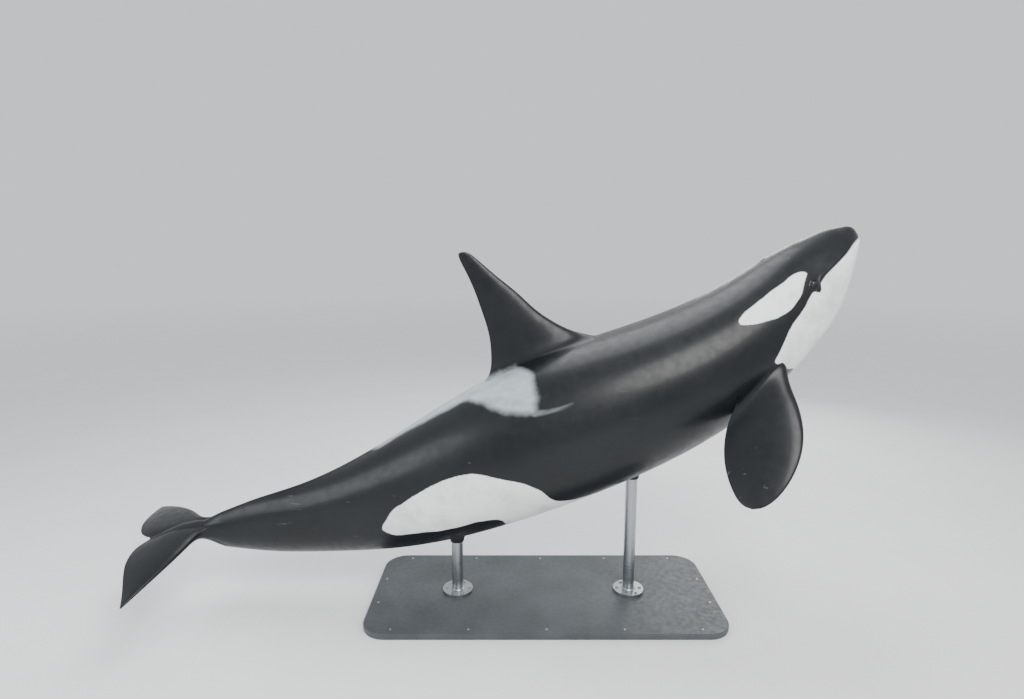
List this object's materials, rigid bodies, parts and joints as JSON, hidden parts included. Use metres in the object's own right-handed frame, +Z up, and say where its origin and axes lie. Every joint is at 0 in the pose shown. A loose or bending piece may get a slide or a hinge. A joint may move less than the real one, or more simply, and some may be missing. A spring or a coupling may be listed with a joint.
{
  "type": "orca display model",
  "caption": "Life-size still model of a swimming orca, climbing with its mouth shut and its flippers spread, held over a flat base by short steel rods.",
  "frame": {"origin": "middle of the underside of the display base, on the floor", "axes": "+X the way the animal heads, +Y its left side, +Z up"},
  "size_m": [5.5424, 1.6701, 2.9053],
  "materials": {
    "black_skin": "smooth satin whale skin, near black with a cool cast; carries the white patches and the grey saddle",
    "white_skin": "smooth satin whale skin, slightly cool white",
    "eye": "wet dark brown eye under a clear cornea",
    "base_paint": "plywood painted satin charcoal",
    "rod_steel": "solid steel rod, brushed"
  },
  "bodies": {
    "root": {"head": "black_skin", "lower_jaw": "white_skin", "chest": "black_skin", "trunk": "black_skin", "loin": "black_skin", "tail_stock": "black_skin", "dorsal_fin": "black_skin", "flipper_right": "black_skin", "flipper_left": "black_skin", "fluke_right": "black_skin", "fluke_left": "black_skin", "eye_right": "eye", "eye_left": "eye", "stand_base": "base_paint", "stand_rod_front": "rod_steel", "stand_rod_rear": "rod_steel"}
  },
  "joints": []
}
